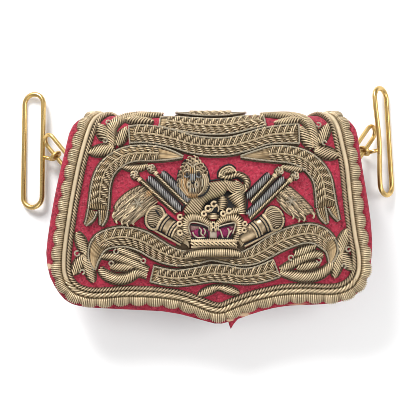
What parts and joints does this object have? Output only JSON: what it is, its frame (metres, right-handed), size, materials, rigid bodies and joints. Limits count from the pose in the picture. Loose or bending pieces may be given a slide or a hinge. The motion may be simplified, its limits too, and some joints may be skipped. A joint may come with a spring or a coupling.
{
  "type": "cross belt pouch",
  "caption": "Officer's full dress cross belt pouch: small leather box under a scarlet cloth flap with raised bullion embroidery, and a brass ring and belt slide on each side.",
  "frame": {"origin": "on the flat back of the pouch, on the line midway between the two sides of the box, 37 mm above the box's bottom edge", "axes": "+X across the pouch, +Y towards the fold at the top of the flap, +Z out of the back towards the embroidered flap"},
  "size_m": [0.2114, 0.1348, 0.041],
  "materials": {
    "leather": "grained, satin",
    "scarlet_cloth": "fulled wool, matte",
    "bullion": "tarnished gilt bullion thread",
    "pale_bullion": "gilt and silver bullion thread",
    "dark_bullion": "tarnished silver thread",
    "metal_plate": "worn flattened metal thread and plate",
    "velvet": "velvet, matte",
    "brass": "polished gilt wire"
  },
  "bodies": {
    "root": {"flap_and_back": "leather", "box_front": "leather", "box_gusset": "leather", "flap_cloth": "scarlet_cloth", "border_scallops": "bullion", "upper_scroll": "bullion", "top_scroll": "bullion", "crest_scroll": "bullion", "left_tail": "bullion", "right_tail": "bullion", "lower_scroll": "bullion", "bottom_scroll": "bullion", "left_crescent": "bullion", "right_crescent": "bullion", "low_left_knot": "bullion", "low_right_knot": "bullion", "left_flag": "bullion", "right_flag": "bullion", "crown_band": "bullion", "crown_orb": "bullion", "lion_head": "bullion", "lion_tail": "bullion", "crown_roll": "pale_bullion", "crown_left_arch": "pale_bullion", "crown_right_arch": "pale_bullion", "lion_body": "pale_bullion", "left_outer_pole": "pale_bullion", "left_inner_pole": "pale_bullion", "right_inner_pole": "pale_bullion", "right_outer_pole": "pale_bullion", "top_left_spray": "pale_bullion", "top_right_spray": "pale_bullion", "low_left_spray": "pale_bullion", "low_right_spray": "pale_bullion", "tip_spray": "pale_bullion", "border_cord": "dark_bullion", "left_outer_rod": "dark_bullion", "left_inner_rod": "dark_bullion", "right_inner_rod": "dark_bullion", "right_outer_rod": "dark_bullion", "border_plate": "metal_plate", "left_barrel": "metal_plate", "right_barrel": "metal_plate", "crown_cap": "velvet", "left_slide": "brass", "left_ring": "brass", "left_staple": "brass", "right_slide": "brass", "right_ring": "brass", "right_staple": "brass"}
  },
  "joints": []
}
